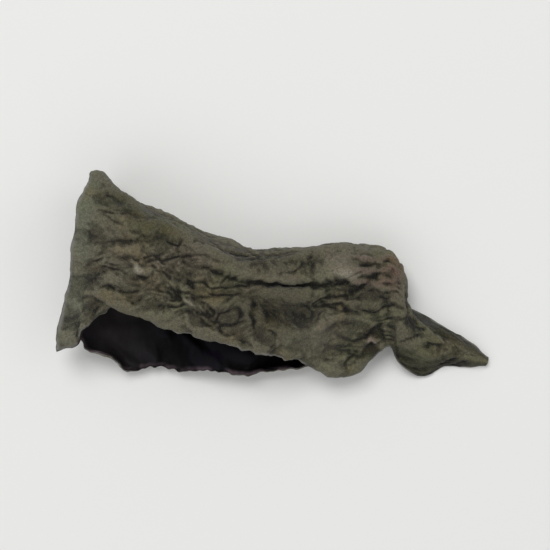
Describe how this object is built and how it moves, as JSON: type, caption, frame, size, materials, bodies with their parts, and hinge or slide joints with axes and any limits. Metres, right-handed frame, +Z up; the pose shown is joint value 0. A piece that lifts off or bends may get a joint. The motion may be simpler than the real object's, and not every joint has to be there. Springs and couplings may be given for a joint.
{
  "type": "dried wood ear mushroom",
  "caption": "Dried wood ear mushroom: a thin shrivelled fruit body folded along its length, velvety grey brown outside and dark inside, with a narrow cut base and curled margins.",
  "frame": {"origin": "on the surface that the mushroom lies on, under the middle of its box", "axes": "+X towards the cut base, +Y towards the crest of the fold, +Z up from the surface that it lies on"},
  "size_m": [0.0594, 0.0282, 0.0132],
  "materials": {
    "dried_flesh": "dried fungus flesh: dull velvety grey brown on the outer side, darker and smoother on the inner side"
  },
  "bodies": {
    "root": {"wood_ear": "dried_flesh"}
  },
  "joints": []
}
